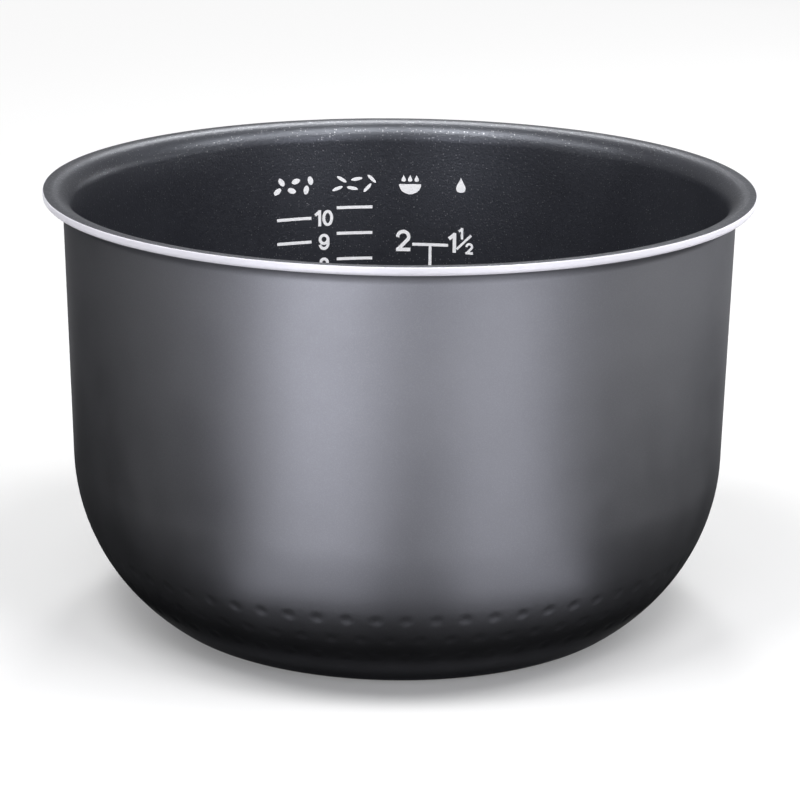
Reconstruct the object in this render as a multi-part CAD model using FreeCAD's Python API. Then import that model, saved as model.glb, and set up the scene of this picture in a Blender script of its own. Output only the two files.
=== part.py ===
import FreeCAD, Part
import math
import os

# Driving dimensions, in millimetres, with angles in degrees.
# The front of the pot is at -Y, and the measuring scale is on the inside at +Y.

# Drawn shell of even thickness
POT_HEIGHT = 146.0
BODY_DIAMETER = 223.0
BASE_DIAMETER = 150.0
SHEET_THICKNESS = 2.8
WALL_DRAFT = 1.3
KNUCKLE_RADIUS = 10.7
KNUCKLE_TURN = 35.7

# Middle of the base, pressed up so that the pot stands on a ring
BASE_RING_WIDTH = 11.0
RECESS_DEPTH = 0.6
RECESS_SLOPE_WIDTH = 3.0

# Rim flange, bent outwards from the wall, with its edge turned and bevelled
FLANGE_OVERHANG = 6.5
FLANGE_BEND_RADIUS = 4.5
EDGE_BEVEL = 0.35

# Staggered rows of small dents pressed into the shoulder
DENT_ROWS = 3
DENT_SIDES = 6
DENT_DIAMETER = 5.4
DENT_DEPTH = 0.55
DENT_PITCH = 9.3
DENT_ROW_PITCH = 8.9
DENT_BAND_START = 18.5
DENT_START_ANGLE = 1.85
PUNCH_OVERSHOOT = 1.4

# Measuring scale printed on the inner wall: two columns of bars and one ladder
INK_THICKNESS = 0.15
BAR_HEIGHT = 1.1
BAR_WIDTH = 13.4
LEFT_BAR_ANGLE = -21.1
LEFT_BAR_DROP = 34.9
LEFT_BAR_PITCH = 8.95
RIGHT_BAR_ANGLE = -8.9
RIGHT_BAR_DROP = 31.4
RIGHT_BAR_PITCH = 9.65
LADDER_ANGLE = 6.1
LADDER_DROP = 45.4
LADDER_PITCH = 22.0
LADDER_STEM_WIDTH = 1.1

DRAFT = math.radians(WALL_DRAFT)
TURN = math.radians(KNUCKLE_TURN)
UPRIGHT = math.radians(90.0) - DRAFT
HALF_TURN = math.radians(180.0)
BODY_RADIUS = BODY_DIAMETER / 2.0
BASE_RADIUS = BASE_DIAMETER / 2.0
RECESS_RADIUS = BASE_RADIUS - BASE_RING_WIDTH
RIM_RADIUS = BODY_RADIUS + FLANGE_OVERHANG
FLANGE_UNDERSIDE = POT_HEIGHT - SHEET_THICKNESS
AXIS_FOOT = FreeCAD.Vector(0, 0, 0)
AXIS = FreeCAD.Vector(0, 0, 1)


def shoulder_radius():
    """Radius of the arc that is tangent to both the knuckle and the leaning wall."""
    lean = math.sin(TURN + DRAFT)
    reach = (BODY_RADIUS - BASE_RADIUS) * math.cos(DRAFT)
    rise = (FLANGE_UNDERSIDE - KNUCKLE_RADIUS) * math.sin(DRAFT)
    return (reach - rise - KNUCKLE_RADIUS * lean) / (1.0 - lean)


SHOULDER_RADIUS = shoulder_radius()
SHOULDER_CENTRE = (
    BASE_RADIUS - (SHOULDER_RADIUS - KNUCKLE_RADIUS) * math.sin(TURN),
    KNUCKLE_RADIUS + (SHOULDER_RADIUS - KNUCKLE_RADIUS) * math.cos(TURN),
)
KNUCKLE_CENTRE = (BASE_RADIUS, KNUCKLE_RADIUS)
BEND_CENTRE = (
    BODY_RADIUS + FLANGE_BEND_RADIUS * (1.0 / math.cos(DRAFT) - math.tan(DRAFT)),
    FLANGE_UNDERSIDE - FLANGE_BEND_RADIUS,
)


def section_point(place):
    """A point of the half section, given as its radius and height, in the XZ plane."""
    return FreeCAD.Vector(place[0], 0.0, place[1])


def path(*places):
    """Straight edges from each place of the half section to the next."""
    points = [section_point(place) for place in places]
    return [Part.LineSegment(start, end).toShape() for start, end in zip(points, points[1:])]


def on_arc(centre, radius, slope):
    """Place on an arc where its tangent has climbed to the given slope."""
    return (centre[0] + radius * math.sin(slope), centre[1] - radius * math.cos(slope))


def arc(centre, radius, first_slope, last_slope):
    """Arc edge between two slopes of its tangent."""
    slopes = (first_slope, (first_slope + last_slope) / 2.0, last_slope)
    return Part.Arc(*[section_point(on_arc(centre, radius, slope)) for slope in slopes]).toShape()


def wall_foot(depth):
    """Where the shoulder runs into the straight wall, this deep in the sheet."""
    return on_arc(SHOULDER_CENTRE, SHOULDER_RADIUS - depth, UPRIGHT)


def wall_top(depth):
    """Where the straight wall runs into the flange bend, this deep in the sheet."""
    return on_arc(BEND_CENTRE, FLANGE_BEND_RADIUS + depth, UPRIGHT - HALF_TURN)


def flange_start(depth):
    """Where the flange bend runs into the flat flange, this deep in the sheet."""
    return (BEND_CENTRE[0], FLANGE_UNDERSIDE + depth)


def base_centre(depth):
    return (0.0, RECESS_DEPTH + depth)


def shell_line(depth):
    """Edges of the outer surface moved this deep into the sheet, from the axis to the flange."""
    base = path(
        base_centre(depth),
        (RECESS_RADIUS - RECESS_SLOPE_WIDTH, RECESS_DEPTH + depth),
        (RECESS_RADIUS, depth),
        (BASE_RADIUS, depth),
    )
    knuckle = arc(KNUCKLE_CENTRE, KNUCKLE_RADIUS - depth, 0.0, TURN)
    shoulder = arc(SHOULDER_CENTRE, SHOULDER_RADIUS - depth, TURN, UPRIGHT)
    wall = path(wall_foot(depth), wall_top(depth))
    bend = arc(BEND_CENTRE, FLANGE_BEND_RADIUS + depth, UPRIGHT - HALF_TURN, -HALF_TURN)
    return base + [knuckle, shoulder] + wall + [bend]


def turned(edges, angle=360.0):
    """Solid swept by a closed half section about the upright axis."""
    return Part.Face(Part.Wire(edges)).revolve(AXIS_FOOT, AXIS, angle)


def dent_punch():
    """Flat-sided point that presses one dent: it is DENT_DIAMETER wide at the surface, Z = 0."""
    corners = []
    for side in range(DENT_SIDES):
        angle = 2.0 * math.pi * side / DENT_SIDES
        reach = PUNCH_OVERSHOOT * DENT_DIAMETER / 2.0
        height = (PUNCH_OVERSHOOT - 1.0) * DENT_DEPTH
        corners.append(FreeCAD.Vector(reach * math.cos(angle), reach * math.sin(angle), height))
    corners.append(corners[0])
    tip = FreeCAD.Vector(0.0, 0.0, -DENT_DEPTH)
    flanks = [Part.makePolygon([tip, first, second, tip]) for first, second in zip(corners, corners[1:])]
    faces = [Part.Face(outline) for outline in flanks + [Part.makePolygon(corners)]]
    return Part.Solid(Part.Shell(faces))


def dent_row(row):
    """Punches set square to the shoulder along one row, staggered by half a pitch from row to row."""
    slope = TURN + (DENT_BAND_START + row * DENT_ROW_PITCH) / SHOULDER_RADIUS
    place = on_arc(SHOULDER_CENTRE, SHOULDER_RADIUS, slope)
    count = round(2.0 * math.pi * place[0] / DENT_PITCH)
    square = FreeCAD.Rotation(FreeCAD.Vector(0, 1, 0), 180.0 - math.degrees(slope))
    punch = dent_punch()
    punch.Placement = FreeCAD.Placement(section_point(place), square)
    punches = []
    for index in range(count):
        angle = DENT_START_ANGLE + 360.0 * (index + 0.5 * (row % 2)) / count
        punches.append(punch.rotated(AXIS_FOOT, AXIS, angle - 90.0))
    return punches


def pot_body():
    """Drawn shell with its flange, turned edge and dents."""
    rim = path(
        flange_start(0.0),
        (RIM_RADIUS - EDGE_BEVEL, FLANGE_UNDERSIDE),
        (RIM_RADIUS, FLANGE_UNDERSIDE + EDGE_BEVEL),
        (RIM_RADIUS, POT_HEIGHT - EDGE_BEVEL),
        (RIM_RADIUS - EDGE_BEVEL, POT_HEIGHT),
        flange_start(SHEET_THICKNESS),
    )
    axis = path(base_centre(SHEET_THICKNESS), base_centre(0.0))
    shell = turned(shell_line(0.0) + rim + shell_line(SHEET_THICKNESS)[::-1] + axis)
    punches = [punch for row in range(DENT_ROWS) for punch in dent_row(row)]
    return shell.cut(Part.makeCompound(punches))


def ink_patch(lower, upper, angle, width):
    """Film on the inner wall between two heights, this wide, centred on an angle from +Y to +X."""
    foot = wall_foot(SHEET_THICKNESS)
    film = INK_THICKNESS / math.cos(DRAFT)

    def on_wall(height, lift):
        return (foot[0] + (height - foot[1]) * math.tan(DRAFT) - lift, height)

    outline = path(
        on_wall(lower, 0.0),
        on_wall(upper, 0.0),
        on_wall(upper, film),
        on_wall(lower, film),
        on_wall(lower, 0.0),
    )
    spread = math.degrees(width / on_wall(upper, 0.0)[0])
    patch = turned(outline, spread)
    return patch.rotated(AXIS_FOOT, AXIS, 90.0 - angle - spread / 2.0)


def bar_heights(drop, pitch):
    """Heights of a column of bars, from its top one down to the last on the straight wall."""
    top = POT_HEIGHT - drop
    room = top - BAR_HEIGHT - wall_foot(SHEET_THICKNESS)[1]
    return [top - pitch * step for step in range(1 + math.floor(room / pitch))]


def bar_column(angle, drop, pitch):
    half = BAR_HEIGHT / 2.0
    return [
        ink_patch(height - half, height + half, angle, BAR_WIDTH)
        for height in bar_heights(drop, pitch)
    ]


def ladder_stems():
    """Upright lines of the ladder, each from one of its bars to the next."""
    heights = bar_heights(LADDER_DROP, LADDER_PITCH)
    half = BAR_HEIGHT / 2.0
    return [
        ink_patch(lower + half, upper - half, LADDER_ANGLE, LADDER_STEM_WIDTH)
        for upper, lower in zip(heights, heights[1:])
    ]


def level_marks():
    """All printed bars and lines of the measuring scale, as separate films."""
    films = bar_column(LEFT_BAR_ANGLE, LEFT_BAR_DROP, LEFT_BAR_PITCH)
    films += bar_column(RIGHT_BAR_ANGLE, RIGHT_BAR_DROP, RIGHT_BAR_PITCH)
    films += bar_column(LADDER_ANGLE, LADDER_DROP, LADDER_PITCH)
    films += ladder_stems()
    return Part.makeCompound(films)


os.makedirs("parts", exist_ok=True)
for node, shape in (("pot_body", pot_body()), ("level_marks", level_marks())):
    shape.exportStep("parts/" + node + ".step")
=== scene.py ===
import math

import bpy
import numpy as np
from mathutils import Matrix, Vector


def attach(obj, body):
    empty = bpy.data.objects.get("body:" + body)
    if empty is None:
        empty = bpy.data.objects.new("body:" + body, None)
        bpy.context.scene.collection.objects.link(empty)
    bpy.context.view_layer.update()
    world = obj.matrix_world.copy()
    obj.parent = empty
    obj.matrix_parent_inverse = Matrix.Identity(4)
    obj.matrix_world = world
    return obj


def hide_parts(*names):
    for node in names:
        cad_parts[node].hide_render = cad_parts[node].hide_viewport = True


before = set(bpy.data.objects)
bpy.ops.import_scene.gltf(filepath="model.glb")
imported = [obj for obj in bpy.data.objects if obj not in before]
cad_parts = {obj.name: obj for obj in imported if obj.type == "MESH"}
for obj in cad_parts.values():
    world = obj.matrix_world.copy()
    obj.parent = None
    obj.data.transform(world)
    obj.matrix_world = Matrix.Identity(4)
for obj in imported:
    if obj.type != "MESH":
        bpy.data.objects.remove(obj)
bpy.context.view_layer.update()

# Sizes of the pot in millimetres and its angles, the same as in the solids unless a heading says otherwise.
# The front of the pot is at -Y, and the measuring scale is on the inside at +Y.
MM = 0.001
POT_HEIGHT = 146.0
BODY_RADIUS = 111.5
BASE_RADIUS = 75.0
SHEET_THICKNESS = 2.8
DRAFT = math.radians(1.3)
KNUCKLE_RADIUS = 10.7
TURN = math.radians(35.7)
RECESS_RADIUS = 64.0
RECESS_DEPTH = 0.6
RECESS_SLOPE_WIDTH = 3.0
FLANGE_OVERHANG = 6.5
FLANGE_BEND_RADIUS = 4.5
RIM_RADIUS = BODY_RADIUS + FLANGE_OVERHANG
FLANGE_UNDERSIDE = POT_HEIGHT - SHEET_THICKNESS
UPRIGHT = math.radians(90.0) - DRAFT

# Bare turned edge, rounder than in the solids, and the film of the lining, which ends just short of the rim
EDGE_RING_WIDTH = 1.4
EDGE_UPPER_ROUNDING = 0.3
EDGE_LOWER_ROUNDING = 1.1
LINING_THICKNESS = 0.2
LINING_STEP = 0.05
LINING_END_RADIUS = 117.75
LINING_OVERLAP = 0.1

# Staggered rows of round dents on the shoulder, shallower than the pointed ones of the solids
DENT_ROWS = 3
DENT_DIAMETER = 5.4
DENT_DEPTH = 0.28
DENT_PITCH = 9.3
DENT_ROW_PITCH = 8.9
DENT_BAND_START = 18.5
DENT_BAND_MARGIN = 0.62 * DENT_DIAMETER
DENT_START_ANGLE = math.radians(1.85)

# Columns of the turned meshes round the axis
SHELL_COLUMNS = 900
EDGE_COLUMNS = 720
LINING_COLUMNS = 480

# Printed bars, thinner films than in the solids: heights above the base, angles from +Y towards +X
INK_LIFT = 0.06
INK_LAYER = 0.01
BAR_THICKNESS = 1.1
BAR_WIDTH = 13.4
LEFT_BAR_ANGLE = math.radians(-21.1)
LEFT_BAR_TOP = 111.1
LEFT_BAR_PITCH = 8.95
LEFT_BARS = 7
RIGHT_BAR_ANGLE = math.radians(-8.9)
RIGHT_BAR_TOP = 114.6
RIGHT_BAR_PITCH = 9.65
RIGHT_BARS = 6
LADDER_ANGLE = math.radians(6.1)
LADDER_TOP = 100.6
LADDER_PITCH = 22.0
LADDER_BARS = 2

# Figures beside the bars, which the solids leave out
MOST_CUPS = 10
CUP_ANGLE = math.radians(-15.0)
CUP_FIGURE_DROP = 0.2
CUP_FIGURE_HEIGHT = 6.1
CUP_FIGURE_WEIGHT = 1.1
LADDER_LEFT_ANGLE = math.radians(0.76)
LADDER_RIGHT_ANGLE = math.radians(12.3)
LADDER_FIGURE_DROP = 2.7
LADDER_FIGURE_HEIGHT = 8.1
LADDER_FIGURE_WEIGHT = 1.3
LADDER_LOWER_SHIFT = 1.5
FIGURE_GAP = 0.45

# Parts of the figure for one and a half, with their places across and up from the middle of its foot
WHOLE_ONE_PLACE = (-3.4, 0.0)
WHOLE_ONE_HEIGHT = 0.92 * LADDER_FIGURE_HEIGHT
RAISED_ONE_PLACE = (-0.2, 5.2)
LOWERED_TWO_PLACE = (3.1, -0.3)
SLANT_START = (-1.4, 1.7)
SLANT_END = (3.4, 6.6)
HALF_FIGURE_HEIGHT = 4.3
HALF_FIGURE_WEIGHT = 0.9

# Signs over the columns of the scale, which the solids leave out
HEADING_HEIGHT = 123.5
GRAIN_PITCH = 5.6
GRAIN_ROW_PITCH = 3.4
GRAIN_ROW_SHIFT = 1.6
GRAIN_TILTS = (35.0, -20.0, 80.0, -55.0, 15.0, -75.0)
BOWL_ANGLE = math.radians(2.0)
BOWL_BRIM = HEADING_HEIGHT - 0.3
BOWL_HALF_WIDTH = 4.1
BOWL_DEPTH = 3.8
BOWL_DROP_OFFSETS = (-2.4, 0.0, 2.4)
BOWL_DROP_HEIGHT = HEADING_HEIGHT + 1.9
BOWL_DROP_SIZE = 2.6
LONE_DROP_ANGLE = math.radians(12.0)
LONE_DROP_SIZE = 5.8

# Colours of the light: plain, and cooler for the bright cards and the lamps in front
WHITE = (1.0, 1.0, 1.0)
COOL = (0.92, 0.925, 1.0)

# Bright cards on the floor: first and last azimuth in degrees, near and far reach in metres, strength
BOUNCE_CARDS = (
    ("bounce_left_near", -38.0, -5.0, 0.13, 0.4, 1.1),
    ("bounce_left_far", -38.0, -5.0, 0.4, 1.0, 9.3),
    ("bounce_right_near", 14.0, 46.0, 0.13, 0.4, 1.15),
    ("bounce_right_far", 14.0, 46.0, 0.4, 1.0, 5.4),
    ("bounce_middle", -5.0, 14.0, 0.13, 0.26, 0.45),
    ("bounce_side", 80.0, 135.0, 0.45, 1.1, 0.6),
)

# Lamps: azimuth and elevation in degrees, distance, width and height in metres, radiance, colour
SOFTBOXES = (
    ("key_left", -21.5, 20.0, 1.2, 0.3, 0.5, 4.6, COOL),
    ("fill_right", 33.5, 22.0, 1.2, 0.3, 0.5, 5.4, COOL),
    ("top_left", -40.0, 64.0, 1.1, 0.34, 0.5, 13.0, WHITE),
    ("top_right", 40.0, 64.0, 1.1, 0.34, 0.5, 11.5, WHITE),
    ("top_back", 177.0, 50.0, 1.1, 0.2, 0.5, 11.0, WHITE),
    ("side_left", -80.0, 45.0, 1.2, 0.4, 0.4, 4.5, WHITE),
    ("side_right", 80.0, 45.0, 1.2, 0.4, 0.4, 7.0, WHITE),
    ("rim_right", 92.0, 3.5, 1.2, 1.15, 0.2, 5.2, WHITE),
    ("rim_back", 135.0, 3.5, 1.2, 0.5, 0.2, 8.0, WHITE),
    ("rim_left", -75.0, 3.5, 1.2, 0.35, 0.2, 4.0, WHITE),
)


def shoulder_arc():
    """Radius and centre of the arc that is tangent to both the knuckle and the leaning wall."""
    lean = math.sin(TURN + DRAFT)
    reach = (BODY_RADIUS - BASE_RADIUS) * math.cos(DRAFT)
    rise = (FLANGE_UNDERSIDE - KNUCKLE_RADIUS) * math.sin(DRAFT)
    radius = (reach - rise - KNUCKLE_RADIUS * lean) / (1.0 - lean)
    gap = radius - KNUCKLE_RADIUS
    return radius, (BASE_RADIUS - gap * math.sin(TURN), KNUCKLE_RADIUS + gap * math.cos(TURN))


SHOULDER_RADIUS, SHOULDER_CENTRE = shoulder_arc()
KNUCKLE_CENTRE = (BASE_RADIUS, KNUCKLE_RADIUS)
BEND_CENTRE = (
    BODY_RADIUS + FLANGE_BEND_RADIUS * (1.0 / math.cos(DRAFT) - math.tan(DRAFT)),
    FLANGE_UNDERSIDE - FLANGE_BEND_RADIUS,
)


def arc(centre, radius, slopes):
    """Points of an arc in the half section, (radius, height), one for each slope of its tangent."""
    across = centre[0] + radius * np.sin(slopes)
    return np.column_stack([across, centre[1] - radius * np.cos(slopes)])


def even(first, last, steps):
    """Values from first to last in equal steps, with both ends."""
    return np.linspace(first, last, steps + 1)


def shell_line(depth, shoulder_slopes, knuckle_steps, bend_steps):
    """Half section of the outer surface moved this deep into the sheet: base, shoulder, flange bend."""
    flat = np.array([
        (0.0, RECESS_DEPTH + depth),
        (RECESS_RADIUS - RECESS_SLOPE_WIDTH, RECESS_DEPTH + depth),
        (RECESS_RADIUS, depth),
    ])
    knuckle = arc(KNUCKLE_CENTRE, KNUCKLE_RADIUS - depth, even(0.0, TURN, knuckle_steps))
    shoulder = arc(SHOULDER_CENTRE, SHOULDER_RADIUS - depth, shoulder_slopes[1:])
    bend_slopes = even(UPRIGHT - math.pi, -math.pi, bend_steps)
    bend = arc(BEND_CENTRE, FLANGE_BEND_RADIUS + depth, bend_slopes)
    return np.vstack([flat, knuckle]), shoulder, bend


def inner_wall_radius(height):
    """Radius of the lined wall at a height: the leaning straight line through its foot."""
    foot = arc(SHOULDER_CENTRE, SHOULDER_RADIUS - SHEET_THICKNESS, np.array([UPRIGHT]))[0]
    return foot[0] + (height - foot[1]) * math.tan(DRAFT)


def around(columns):
    """Angles of equal columns round the axis."""
    return 2.0 * math.pi * np.arange(columns) / columns


def turned_points(section, columns):
    """A half section carried round the axis: point (r, h) at angle a is (r cos a, r sin a, h)."""
    angle = around(columns)
    radius = section[:, :1]
    height = section[:, 1:]
    grid = np.broadcast_arrays(radius * np.cos(angle), radius * np.sin(angle), height)
    return np.stack(grid, axis=-1)


def ring_faces(rows, columns, closed):
    """Quads between the rows of a grid that closes round its columns, and round its rows if asked."""
    row = np.arange(rows if closed else rows - 1)[:, None]
    column = np.arange(columns)[None, :]
    beside = (column + 1) % columns
    here = row * columns
    above = (row + 1) % rows * columns
    corners = (here + column, here + beside, above + beside, above + column)
    return np.stack(np.broadcast_arrays(*corners), axis=-1).reshape(-1, 4)


def cap_faces(first, columns, pole, upward):
    """Triangles from one ring of points to the pole that closes it."""
    column = np.arange(columns)
    here = first + column
    beside = first + (column + 1) % columns
    order = (here, beside) if upward else (beside, here)
    return np.column_stack([order[0], order[1], np.full(columns, pole)])


def new_piece(name, points, faces, material, smooth_angle=30.0):
    """Mesh object at the origin, turned to metres, smooth except across edges sharper than the angle."""
    mesh = bpy.data.meshes.new(name)
    mesh.from_pydata((points * MM).tolist(), [], [face.tolist() for face in faces])
    mesh.polygons.foreach_set("use_smooth", np.ones(len(mesh.polygons), bool))
    mesh.set_sharp_from_angle(angle=math.radians(smooth_angle))
    mesh.materials.append(material)
    piece = bpy.data.objects.new(name, mesh)
    bpy.context.scene.collection.objects.link(piece)
    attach(piece, "root")
    return piece


def closed_bowl(grid):
    """Points and faces of a closed turned shell whose first and last rows are poles on the axis."""
    rows, columns = grid.shape[:2]
    body = grid[1:-1].reshape(-1, 3)
    poles = np.array([grid[0, 0], grid[-1, 0]])
    count = len(body)
    faces = list(ring_faces(rows - 2, columns, closed=False))
    faces += list(cap_faces(0, columns, count, upward=False))
    faces += list(cap_faces((rows - 3) * columns, columns, count + 1, upward=True))
    return np.vstack([body, poles]), faces


def dent_slope(row):
    """Slope of the shoulder along the middle of one row of dents."""
    return TURN + (DENT_BAND_START + row * DENT_ROW_PITCH) / SHOULDER_RADIUS


def shoulder_slopes_with_dents():
    """Slopes along the shoulder, close together where the dents are."""
    margin = DENT_BAND_MARGIN / SHOULDER_RADIUS
    lower = dent_slope(0) - margin
    upper = dent_slope(DENT_ROWS - 1) + margin
    return np.concatenate([
        even(TURN, lower, steps=6)[:-1],
        even(lower, upper, steps=40),
        even(upper, UPRIGHT, steps=8)[1:],
    ])


def dent_depths(slopes, columns):
    """Depth at each slope and angle: DENT_DEPTH times (1 - (d / a)^2)^2 for each row of dents.

    Here d is the distance to the nearest middle in the row, and a is half the dent's diameter.
    """
    angle = around(columns)[None, :] + math.radians(90.0)
    depth = np.zeros((len(slopes), columns))
    for row in range(DENT_ROWS):
        slope = dent_slope(row)
        radius = SHOULDER_CENTRE[0] + SHOULDER_RADIUS * math.sin(slope)
        count = round(2.0 * math.pi * radius / DENT_PITCH)
        turn = (angle - DENT_START_ANGLE) * count / (2.0 * math.pi) - 0.5 * (row % 2)
        across = (turn - np.round(turn)) * 2.0 * math.pi * radius / count
        along = (slopes[:, None] - slope) * SHOULDER_RADIUS
        share = (across ** 2 + along ** 2) / (DENT_DIAMETER / 2.0) ** 2
        depth += DENT_DEPTH * np.clip(1.0 - share, 0.0, 1.0) ** 2
    return depth


def pressed_in(slopes, columns):
    """Shift of each point of the shoulder square to it: depth times (-sin s outwards, cos s upwards)."""
    angle = around(columns)
    slope = slopes[:, None]
    inward = (-np.sin(slope) * np.cos(angle), -np.sin(slope) * np.sin(angle), np.cos(slope))
    return dent_depths(slopes, columns)[..., None] * np.stack(np.broadcast_arrays(*inward), axis=-1)


def pot_shell(material):
    """Drawn shell: the outside with its dents, the flange's underside, and the side under the lining."""
    slopes = shoulder_slopes_with_dents()
    base, shoulder, bend = shell_line(0.0, slopes, knuckle_steps=6, bend_steps=10)
    hidden = SHEET_THICKNESS - LINING_STEP - LINING_OVERLAP
    plain_slopes = even(TURN, UPRIGHT, steps=8)
    inside = np.vstack(shell_line(hidden, plain_slopes, knuckle_steps=3, bend_steps=5))
    ring_start = RIM_RADIUS - EDGE_RING_WIDTH
    rim = np.array([(ring_start, FLANGE_UNDERSIDE), (ring_start, FLANGE_UNDERSIDE + hidden)])
    section = np.vstack([base, shoulder, bend, rim, inside[::-1]])
    grid = turned_points(section, SHELL_COLUMNS)
    grid[len(base):len(base) + len(shoulder)] += pressed_in(slopes[1:], SHELL_COLUMNS)
    points, faces = closed_bowl(grid)
    piece = new_piece("pot_shell", points, faces, material)
    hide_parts("pot_body")


def corner(centre, radius, first, last):
    """Rounded corner of the edge ring's section, as an arc between two slopes in degrees."""
    return arc(centre, radius, even(math.radians(first), math.radians(last), steps=5))


def rim_edge(material):
    """Turned edge of the flange: a ring with a rounded section, its top just under the lining's film."""
    top = POT_HEIGHT - LINING_STEP
    inner = RIM_RADIUS - EDGE_RING_WIDTH
    lower = EDGE_LOWER_ROUNDING
    upper = EDGE_UPPER_ROUNDING
    section = np.vstack([
        [(inner, FLANGE_UNDERSIDE)],
        corner((RIM_RADIUS - lower, FLANGE_UNDERSIDE + lower), lower, 0.0, 90.0),
        corner((RIM_RADIUS - upper, top - upper), upper, 90.0, 180.0),
        [(inner, top)],
    ])
    points = turned_points(section, EDGE_COLUMNS).reshape(-1, 3)
    faces = ring_faces(len(section), EDGE_COLUMNS, closed=True)
    new_piece("rim_edge", points, faces, material, smooth_angle=40.0)


def nonstick_lining(material):
    """Film over the whole inside, the lip and the top of the flange, to just short of the rim."""
    slopes = even(TURN, UPRIGHT, steps=28)
    steps = {"knuckle_steps": 8, "bend_steps": 16}
    surface = np.vstack(shell_line(SHEET_THICKNESS, slopes, **steps))
    back = np.vstack(shell_line(SHEET_THICKNESS - LINING_THICKNESS, slopes, **steps))
    end = np.array([
        (LINING_END_RADIUS, POT_HEIGHT - LINING_THICKNESS),
        (LINING_END_RADIUS, POT_HEIGHT - LINING_STEP),
        (LINING_END_RADIUS - LINING_STEP, POT_HEIGHT),
    ])
    section = np.vstack([back, end, surface[::-1]])
    points, faces = closed_bowl(turned_points(section, LINING_COLUMNS))
    new_piece("nonstick_lining", points, faces, material)


def round_at(angle):
    """Distance round the wall from the middle of the scale to an angle."""
    return angle * inner_wall_radius(HEADING_HEIGHT)


def wrapped(flat):
    """Flat print laid on the lined wall: distance round d, height h and lift become (r sin a, r cos a, h).

    Here a is d over the wall's radius at the headings, and r is its radius at h less the lift.
    """
    angle = flat[:, 0] / inner_wall_radius(HEADING_HEIGHT)
    reach = inner_wall_radius(flat[:, 1]) - flat[:, 2]
    return np.column_stack([reach * np.sin(angle), reach * np.cos(angle), flat[:, 1]])


def filled(outline):
    """A flat outline of print with its thickness: two copies of the loop and a wall round its edge."""
    count = len(outline)
    floor = np.column_stack([outline, np.full(count, -INK_LIFT)])
    face = np.column_stack([outline, np.full(count, INK_LIFT)])
    index = np.arange(count)
    beside = (index + 1) % count
    walls = np.column_stack([index, beside, beside + count, index + count])
    return np.vstack([floor, face]), list(walls) + [index[::-1], index + count]


def stroke(path, weight, layer=0):
    """Line of print: a flat section carried along a path, square to it.

    Open ends run on by half the weight, and a path that ends where it starts becomes a ring. Each
    layer lies a little over the one before it.
    """
    closed = np.allclose(path[0], path[-1])
    if closed:
        spine = path[:-1]
        ahead = np.roll(spine, -1, axis=0) - np.roll(spine, 1, axis=0)
    else:
        spine = path
        ahead = np.gradient(spine, axis=0)
    ahead = 0.5 * weight * ahead / np.linalg.norm(ahead, axis=1, keepdims=True)
    if not closed:
        spine = np.vstack([spine[:1] - ahead[:1], spine[1:-1], spine[-1:] + ahead[-1:]])
    side = np.column_stack([-ahead[:, 1], ahead[:, 0]])
    lift = np.full(len(spine), INK_LIFT + layer * INK_LAYER)
    section = ((-1.0, -1.0), (1.0, -1.0), (1.0, 1.0), (-1.0, 1.0))
    corners = [np.column_stack([spine + across * side, up * lift]) for across, up in section]
    faces = list(ring_faces(len(spine), 4, closed))
    if not closed:
        faces += [np.array([3, 2, 1, 0]), 4 * (len(spine) - 1) + np.arange(4)]
    return np.stack(corners, axis=1).reshape(-1, 3), faces


def line(first, last, steps=1):
    """Straight path between two points of the flat print."""
    return np.column_stack([even(first[0], last[0], steps), even(first[1], last[1], steps)])


def oval(middle, height, across, up, first=0.0, last=360.0):
    """Stretch of an ellipse between two angles in degrees, counted from its right-hand end."""
    angle = np.radians(even(first, last, steps=20))
    return np.column_stack([middle + across * np.cos(angle), height + up * np.sin(angle)])


def digit_paths(digit):
    """Middle lines of one digit, in a box that is 1 high and up to 0.6 wide."""
    back = np.vstack([[(0.0, 0.31)], oval(0.3, 0.66, 0.3, 0.34, 180.0, 25.0)])
    six = [oval(0.3, 0.31, 0.3, 0.31), back]
    paths = {
        "0": [oval(0.3, 0.5, 0.3, 0.5)],
        "1": [line((0.26, 1.0), (0.26, 0.0)), line((0.0, 0.8), (0.22, 0.98))],
        "2": [
            np.vstack([oval(0.3, 0.71, 0.3, 0.29, 165.0, -30.0), [(0.04, 0.03)]]),
            line((0.0, 0.0), (0.6, 0.0)),
        ],
        "4": [
            line((0.44, 0.0), (0.44, 1.0)),
            line((0.42, 0.97), (0.03, 0.33)),
            line((0.0, 0.3), (0.6, 0.3)),
        ],
        "5": [
            line((0.1, 1.0), (0.54, 1.0)),
            line((0.1, 0.97), (0.05, 0.58)),
            oval(0.28, 0.33, 0.32, 0.33, 135.0, -145.0),
        ],
        "6": six,
        "7": [line((0.0, 1.0), (0.6, 1.0)), line((0.58, 0.96), (0.2, 0.0))],
        "8": [oval(0.3, 0.755, 0.25, 0.245), oval(0.3, 0.26, 0.3, 0.26)],
        "9": [np.array([0.6, 1.0]) - path for path in six],
    }
    return paths[digit]


def digit_width(digit):
    """Width of a digit's middle lines, as a share of their height."""
    return max(path[:, 0].max() for path in digit_paths(digit))


def number(text, middle, lower, height, weight):
    """Digits side by side about a middle, drawn as strokes of one weight inside the height."""
    scale = height - weight
    widths = [scale * digit_width(digit) + weight for digit in text]
    left = middle - (sum(widths) + FIGURE_GAP * (len(text) - 1)) / 2.0
    strokes = []
    for digit, width in zip(text, widths):
        foot = np.array([left, lower]) + weight / 2.0
        for layer, path in enumerate(digit_paths(digit)):
            strokes.append(stroke(foot + scale * path, weight, layer))
        left += width + FIGURE_GAP
    return strokes


def bar(angle, height):
    """One level bar, its middle at an angle and a height."""
    half = (BAR_WIDTH - BAR_THICKNESS) / 2.0
    middle = round_at(angle)
    path = line((middle - half, height), (middle + half, height), steps=12)
    return stroke(path, BAR_THICKNESS)


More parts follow.
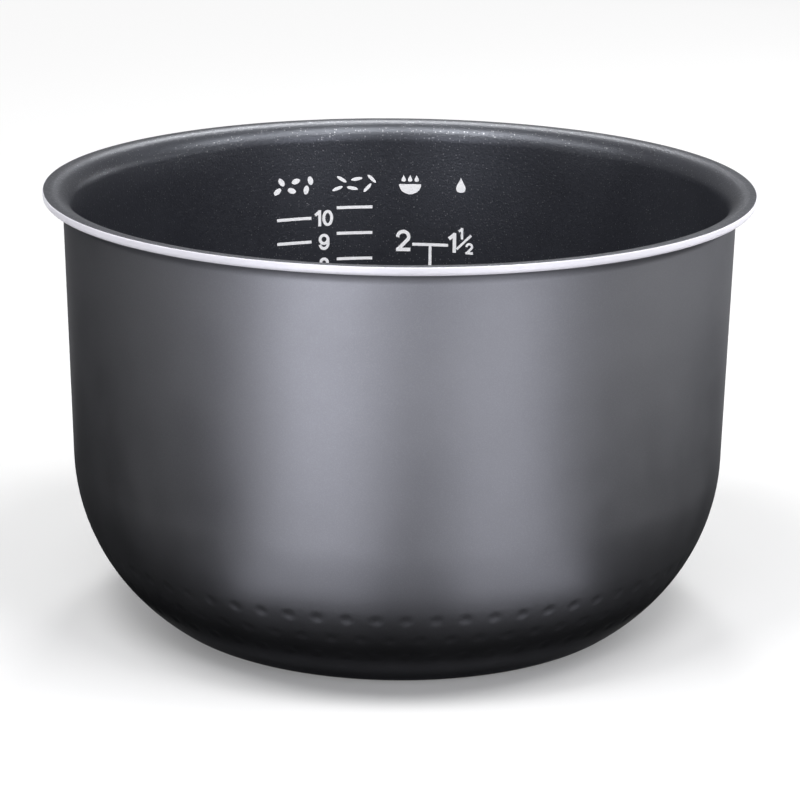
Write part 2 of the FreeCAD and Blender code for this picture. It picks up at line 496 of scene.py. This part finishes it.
def bars():
    """Columns of level bars, and the ladder with its stem."""
    columns = (
        (LEFT_BAR_ANGLE, LEFT_BAR_TOP, LEFT_BAR_PITCH, LEFT_BARS),
        (RIGHT_BAR_ANGLE, RIGHT_BAR_TOP, RIGHT_BAR_PITCH, RIGHT_BARS),
        (LADDER_ANGLE, LADDER_TOP, LADDER_PITCH, LADDER_BARS),
    )
    strokes = []
    for angle, top, pitch, count in columns:
        strokes += [bar(angle, top - step * pitch) for step in range(count)]
    middle = round_at(LADDER_ANGLE)
    foot = LADDER_TOP - LADDER_PITCH * (LADDER_BARS - 1)
    stem = line((middle, foot), (middle, LADDER_TOP), steps=4)
    return strokes + [stroke(stem, BAR_THICKNESS, layer=1)]


def cup_figures():
    """Cups of rice from the most downwards, one number beside each bar of the left column."""
    middle = round_at(CUP_ANGLE)
    strokes = []
    for step in range(LEFT_BARS):
        level = LEFT_BAR_TOP - step * LEFT_BAR_PITCH
        lower = level - CUP_FIGURE_DROP - CUP_FIGURE_HEIGHT / 2.0
        cups = str(MOST_CUPS - step)
        strokes += number(cups, middle, lower, CUP_FIGURE_HEIGHT, CUP_FIGURE_WEIGHT)
    return strokes


def one_and_a_half(middle, lower):
    """A large 1, then a raised small 1, a slanted stroke and a lowered small 2."""

    def at(place):
        return middle + place[0], lower + place[1]

    small = (HALF_FIGURE_HEIGHT, HALF_FIGURE_WEIGHT)
    strokes = number("1", *at(WHOLE_ONE_PLACE), WHOLE_ONE_HEIGHT, LADDER_FIGURE_WEIGHT)
    strokes += number("1", *at(RAISED_ONE_PLACE), *small)
    strokes.append(stroke(line(at(SLANT_START), at(SLANT_END)), HALF_FIGURE_WEIGHT))
    return strokes + number("2", *at(LOWERED_TWO_PLACE), *small)


def ladder_figures():
    """Cups of porridge beside the ladder: 2 and 1 1/2 in its upper row, 1 1/2 and 1 in its lower one."""
    left = round_at(LADDER_LEFT_ANGLE)
    right = round_at(LADDER_RIGHT_ANGLE)
    size = (LADDER_FIGURE_HEIGHT, LADDER_FIGURE_WEIGHT)
    upper = LADDER_TOP - LADDER_FIGURE_DROP
    lower = upper - LADDER_PITCH
    strokes = number("2", left, upper, *size) + one_and_a_half(right, upper)
    strokes += one_and_a_half(left - LADDER_LOWER_SHIFT, lower)
    return strokes + number("1", right, lower, *size)


def grain(middle, height, length, width, tilt):
    """Grain of rice: an ellipse turned by its tilt."""
    x, y = (0.5 * oval(0.0, 0.0, length, width)[:-1]).T
    across = x * math.cos(tilt) - y * math.sin(tilt)
    up = x * math.sin(tilt) + y * math.cos(tilt)
    return np.column_stack([middle + across, height + up])


def drop(middle, height, size):
    """Drop: sin a sin(a/2)^2 across and cos a upwards, a point at the top and round below."""
    plumpness = 0.48
    angle = around(columns=24)
    across = -plumpness * size * np.sin(angle) * np.sin(angle / 2.0) ** 2
    return np.column_stack([middle + across, height + 0.5 * size * np.cos(angle)])


def grains(middle, length, width, lean):
    """Two lines of three grains, each with its own tilt, which the lean scales."""
    outlines = []
    for place, tilt in enumerate(GRAIN_TILTS):
        row, column = divmod(place, 3)
        across = middle + (column - 1) * GRAIN_PITCH + (row - 0.5) * GRAIN_ROW_SHIFT
        height = HEADING_HEIGHT + (row - 0.5) * GRAIN_ROW_PITCH
        outlines.append(grain(across, height, length, width, math.radians(lean * tilt)))
    return outlines


def headings():
    """Plain signs over the columns: plump grains, slim grains, a bowl with drops, and one drop."""
    outlines = grains(round_at(LEFT_BAR_ANGLE), length=3.3, width=2.0, lean=1.0)
    outlines += grains(round_at(RIGHT_BAR_ANGLE), length=4.2, width=1.25, lean=0.6)
    bowl = round_at(BOWL_ANGLE)
    outlines.append(oval(bowl, BOWL_BRIM, BOWL_HALF_WIDTH, BOWL_DEPTH, 180.0, 360.0))
    for offset in BOWL_DROP_OFFSETS:
        outlines.append(drop(bowl + offset, BOWL_DROP_HEIGHT, BOWL_DROP_SIZE))
    outlines.append(drop(round_at(LONE_DROP_ANGLE), HEADING_HEIGHT, LONE_DROP_SIZE))
    return [filled(outline) for outline in outlines]


def level_scale(material):
    """All print of the measuring scale, joined into one piece on the lined wall."""
    points = []
    faces = []
    count = 0
    for patch, loops in bars() + cup_figures() + ladder_figures() + headings():
        points.append(wrapped(patch))
        faces += [loop + count for loop in loops]
        count += len(patch)
    piece = new_piece("level_scale", np.vstack(points), faces, material)
    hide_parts("level_marks")


class Finish:
    """A node material built round one Principled shader."""

    def __init__(self, name, **values):
        self.material = bpy.data.materials.new(name)
        self.material.use_nodes = True
        self.tree = self.material.node_tree
        self.shader = self.tree.nodes["Principled BSDF"]
        for socket, value in values.items():
            self.shader.inputs[socket.replace("_", " ")].default_value = value
        self.place = self.node("ShaderNodeTexCoord").outputs["Object"]

    def node(self, kind, **settings):
        """New node of a kind, with its settings."""
        made = self.tree.nodes.new(kind)
        for name, value in settings.items():
            setattr(made, name, value)
        return made

    def link(self, source, target):
        """Wire from one socket to another."""
        self.tree.links.new(source, target)

    def set(self, socket, source):
        """Feed one input of the shader."""
        self.link(source, self.shader.inputs[socket])

    def height(self):
        """Height above the base, in metres."""
        parts = self.node("ShaderNodeSeparateXYZ")
        self.link(self.place, parts.inputs[0])
        return parts.outputs["Z"]

    def noise(self, scale, detail=2.0, roughness=0.5):
        """Noise in the object's own coordinates."""
        made = self.node("ShaderNodeTexNoise")
        made.inputs["Scale"].default_value = scale
        made.inputs["Detail"].default_value = detail
        made.inputs["Roughness"].default_value = roughness
        self.link(self.place, made.inputs["Vector"])
        return made.outputs["Fac"]

    def math(self, operation, first, second):
        """Result of an operation on two sockets."""
        made = self.node("ShaderNodeMath", operation=operation)
        self.link(first, made.inputs[0])
        self.link(second, made.inputs[1])
        return made.outputs[0]

    def between(self, share, low, high, first, last):
        """Map a share from low..high to a value from first to last, held at both ends."""
        made = self.node("ShaderNodeMapRange")
        for index, value in enumerate((low, high, first, last), start=1):
            made.inputs[index].default_value = value
        self.link(share, made.inputs[0])
        return made.outputs[0]

    def curve(self, share, stops):
        """Value on a smooth curve through stops, pairs of share and value, held at both ends."""
        low = stops[0][0]
        high = stops[-1][0]
        made = self.node("ShaderNodeValToRGB")
        made.color_ramp.interpolation = "CARDINAL"
        marks = made.color_ramp.elements
        for place, value in stops[1:-1]:
            marks.new((place - low) / (high - low)).color = (value, value, value, 1.0)
        for mark, value in ((marks[0], stops[0][1]), (marks[len(marks) - 1], stops[-1][1])):
            mark.color = (value, value, value, 1.0)
        self.link(self.between(share, low, high, 0.0, 1.0), made.inputs[0])
        return made.outputs["Color"]

    def blend(self, share, first, second):
        """Colour between two colours, or between a socket and a colour."""
        made = self.node("ShaderNodeMix", data_type="RGBA")
        self.link(share, made.inputs[0])
        for socket, colour in ((made.inputs[6], first), (made.inputs[7], second)):
            if isinstance(colour, bpy.types.NodeSocket):
                self.link(colour, socket)
            else:
                socket.default_value = (*colour, 1.0)
        return made.outputs[2]

    def bump(self, height, strength, distance):
        """Normal that the slopes of a height tilt."""
        made = self.node("ShaderNodeBump")
        made.inputs["Strength"].default_value = strength
        made.inputs["Distance"].default_value = distance
        self.link(height, made.inputs["Height"])
        return made.outputs["Normal"]


def outer_coat():
    """Satin dark grey coat: faint clouds of spray and a fine grain, smoother downwards, with painted shade
    that turns it black towards the base.
    """
    finish = Finish("outer_coat", Metallic=1.0, Specular_Tint=(0.3, 0.3, 0.3, 1.0))
    height = finish.height()
    clouds = finish.between(finish.noise(28.0, detail=3.0, roughness=0.55), 0.3, 0.7, 0.0, 1.0)
    spray = finish.noise(2600.0, roughness=0.6)
    specks = finish.between(spray, 0.45, 0.75, 0.0, 0.35)
    tone = finish.blend(clouds, (0.17, 0.172, 0.184), (0.188, 0.19, 0.202))
    tone = finish.blend(specks, tone, (0.24, 0.243, 0.256))
    # Painted shade: share of black at heights in metres, darkening the coat towards the base
    stops = ((0.004, 0.7), (0.011, 0.4), (0.018, 0.42), (0.024, 0.16), (0.032, 0.02), (0.04, 0.0))
    finish.set("Base Color", finish.blend(finish.curve(height, stops), tone, (0.006, 0.006, 0.007)))
    sheen = finish.between(height, 0.05, 0.135, 0.43, 0.53)
    uneven = finish.between(finish.noise(55.0), 0.3, 0.7, -0.02, 0.02)
    finish.set("Roughness", finish.math("ADD", sheen, uneven))
    finish.set("Normal", finish.bump(spray, strength=0.12, distance=0.0002))
    return finish.material


def bare_edge():
    """Bright turned aluminium, finely matt, with the lines that the tool left round the edge."""
    finish = Finish("bare_edge", Metallic=0.05, Base_Color=(0.64, 0.63, 0.68, 1.0))
    tool_lines = finish.node("ShaderNodeTexNoise", noise_dimensions="1D")
    tool_lines.inputs["Scale"].default_value = 9000.0
    finish.link(finish.height(), tool_lines.inputs["W"])
    lines = tool_lines.outputs["Fac"]
    finish.set("Roughness", finish.between(lines, 0.3, 0.7, 0.36, 0.48))
    finish.set("Normal", finish.bump(lines, strength=0.15, distance=0.00005))
    return finish.material


def nonstick_coat():
    """Near-black satin coat with fine flakes of metal of uneven size."""
    finish = Finish(
        "nonstick_coat",
        IOR=1.55,
        Specular_IOR_Level=0.9,
        Specular_Tint=(0.86, 0.9, 1.0, 1.0),
    )
    cells = finish.node("ShaderNodeTexVoronoi", feature="F1")
    cells.inputs["Scale"].default_value = 1700.0
    finish.link(finish.place, cells.inputs["Vector"])
    chance = finish.node("ShaderNodeSeparateColor")
    finish.link(cells.outputs["Color"], chance.inputs[0])
    size = finish.between(chance.outputs[0], 0.75, 1.0, 0.0, 0.46)
    flake = finish.math("LESS_THAN", cells.outputs["Distance"], size)
    clouds = finish.between(finish.noise(35.0, detail=3.0), 0.3, 0.7, 0.0, 1.0)
    coat = finish.blend(clouds, (0.013, 0.0135, 0.0175), (0.019, 0.02, 0.025))
    finish.set("Base Color", finish.blend(flake, coat, (0.27, 0.275, 0.29)))
    finish.set("Metallic", flake)
    finish.set("Normal", finish.bump(finish.noise(1500.0), strength=0.42, distance=0.0002))
    finish.set("Roughness", finish.between(finish.noise(900.0), 0.3, 0.7, 0.32, 0.42))
    return finish.material


def scale_ink():
    """White print with a slightly uneven cover."""
    finish = Finish("scale_ink")
    cover = finish.noise(900.0, detail=3.0)
    full = finish.between(cover, 0.3, 0.6, 0.0, 1.0)
    finish.set("Base Color", finish.blend(full, (0.88, 0.88, 0.9), (0.95, 0.95, 0.965)))
    finish.set("Roughness", finish.between(cover, 0.3, 0.7, 0.46, 0.56))
    return finish.material


def seen_directly(finish):
    """1 for rays from the camera, a glossy surface or a clear one, and 0 for rays that light a matt one."""
    rays = finish.node("ShaderNodeLightPath").outputs
    reflected = finish.math("MAXIMUM", rays["Is Glossy Ray"], rays["Is Transmission Ray"])
    return finish.math("MAXIMUM", rays["Is Camera Ray"], reflected)


def stage_sheet(name, corners, faces, material):
    """Flat sheet of the set, with its corners in metres."""
    mesh = bpy.data.meshes.new(name)
    mesh.from_pydata(corners, [], faces)
    mesh.materials.append(material)
    sheet = bpy.data.objects.new(name, mesh)
    bpy.context.scene.collection.objects.link(sheet)
    return sheet


def studio_floor():
    """Pale floor, lifted towards white for what sees it directly, so that it keeps the pot's shadow."""
    finish = Finish(
        "studio_floor",
        Base_Color=(0.62, 0.62, 0.62, 1.0),
        Emission_Color=(*WHITE, 1.0),
        Roughness=0.85,
    )
    distance = finish.node("ShaderNodeVectorMath", operation="LENGTH")
    finish.link(finish.place, distance.inputs[0])
    # Strength of the lift at distances from the pot's axis in metres
    stops = ((0.13, 0.16), (0.2, 0.2), (0.6, 0.32), (1.4, 0.64))
    lift = finish.curve(distance.outputs["Value"], stops)
    finish.set("Emission Strength", finish.math("MULTIPLY", lift, seen_directly(finish)))
    half = 6.0
    low = -0.0002
    corners = [(-half, -half, low), (half, -half, low), (half, half, low), (-half, half, low)]
    stage_sheet("studio_floor", corners, [(0, 1, 2, 3)], finish.material)


def reflected_only(sheet):
    """Keep a sheet of the set out of the picture and of the light, so that only reflections show it."""
    sheet.visible_camera = False
    sheet.visible_diffuse = False
    sheet.visible_shadow = False
    sheet.visible_transmission = False


def floor_card(finish, first, last, near, far, height):
    """Flat sector on the floor round the pot: reach r at azimuth a in degrees is (r sin a, -r cos a)."""
    steps = 24
    azimuth = np.radians(even(first, last, steps))
    reach = np.array([[near], [far]])
    grid = np.broadcast_arrays(reach * np.sin(azimuth), -reach * np.cos(azimuth), height)
    corners = np.stack(grid, axis=-1).reshape(-1, 3)
    inner = np.arange(steps)
    outer = inner + steps + 1
    faces = np.column_stack([inner, outer, outer + 1, inner + 1])
    material = finish.material
    reflected_only(stage_sheet(material.name, corners.tolist(), faces.tolist(), material))


def shade_card():
    """Dark card round the front and sides of the pot, so that its wall gets darker towards its foot."""
    finish = Finish("shade_card", Base_Color=(0.02, 0.02, 0.02, 1.0), Roughness=0.9)
    floor_card(finish, first=-135.0, last=135.0, near=0.09, far=1.3, height=0.001)


def bounce_card(name, first, last, near, far, strength):
    """Bright card over the dark one, between two azimuths, that puts a broad sheen on the pot's wall."""
    finish = Finish(name, Base_Color=(0.0, 0.0, 0.0, 1.0), Emission_Color=(*COOL, 1.0))
    finish.shader.inputs["Emission Strength"].default_value = strength
    floor_card(finish, first, last, near, far, height=0.002)


def softbox(name, azimuth, elevation, distance, width, height, radiance, colour):
    """Area light aimed at the pot, from an azimuth counted from the viewer towards the right."""
    lamp = bpy.data.lights.new(name, "AREA")
    lamp.shape = "RECTANGLE"
    lamp.size = width
    lamp.size_y = height
    lamp.energy = radiance * math.pi * width * height
    lamp.color = colour
    holder = bpy.data.objects.new(name, lamp)
    turn = math.radians(azimuth)
    rise = math.radians(elevation)
    level = distance * math.cos(rise)
    offset = Vector((level * math.sin(turn), -level * math.cos(turn), distance * math.sin(rise)))
    target = Vector((0.0, 0.0, 0.07))
    holder.location = target + offset
    holder.rotation_euler = (-offset).to_track_quat("-Z", "Y").to_euler()
    holder.visible_camera = False
    bpy.context.scene.collection.objects.link(holder)


def surroundings():
    """Weak even light from all round."""
    world = bpy.data.worlds.new("studio")
    world.use_nodes = True
    background = world.node_tree.nodes["Background"]
    background.inputs["Color"].default_value = (*WHITE, 1.0)
    background.inputs["Strength"].default_value = 0.24
    bpy.context.scene.world = world


def studio():
    """White floor with its cards, and softboxes in front, overhead, at the sides and behind."""
    studio_floor()
    shade_card()
    for card in BOUNCE_CARDS:
        bounce_card(*card)
    surroundings()
    for lamp in SOFTBOXES:
        softbox(*lamp)
    bpy.context.scene.view_settings.view_transform = "Standard"


def camera():
    """Camera at the fitted place: it looks down by about 16 degrees and rolls by about 0.6 degrees."""
    lens = bpy.data.cameras.new("camera")
    lens.lens = 132.6
    lens.sensor_width = 36.0
    eye = bpy.data.objects.new("camera", lens)
    place = Vector((0.0, -0.9603, 0.349))
    aim = Vector((0.00076, 0.0, 0.07138))
    turn = (aim - place).to_track_quat("-Z", "Y").to_matrix().to_4x4()
    roll = Matrix.Rotation(math.radians(0.581), 4, "Z")
    eye.matrix_world = Matrix.Translation(place) @ turn @ roll
    bpy.context.scene.collection.objects.link(eye)
    bpy.context.scene.camera = eye


pot_shell(outer_coat())
rim_edge(bare_edge())
nonstick_lining(nonstick_coat())
level_scale(scale_ink())
studio()
camera()
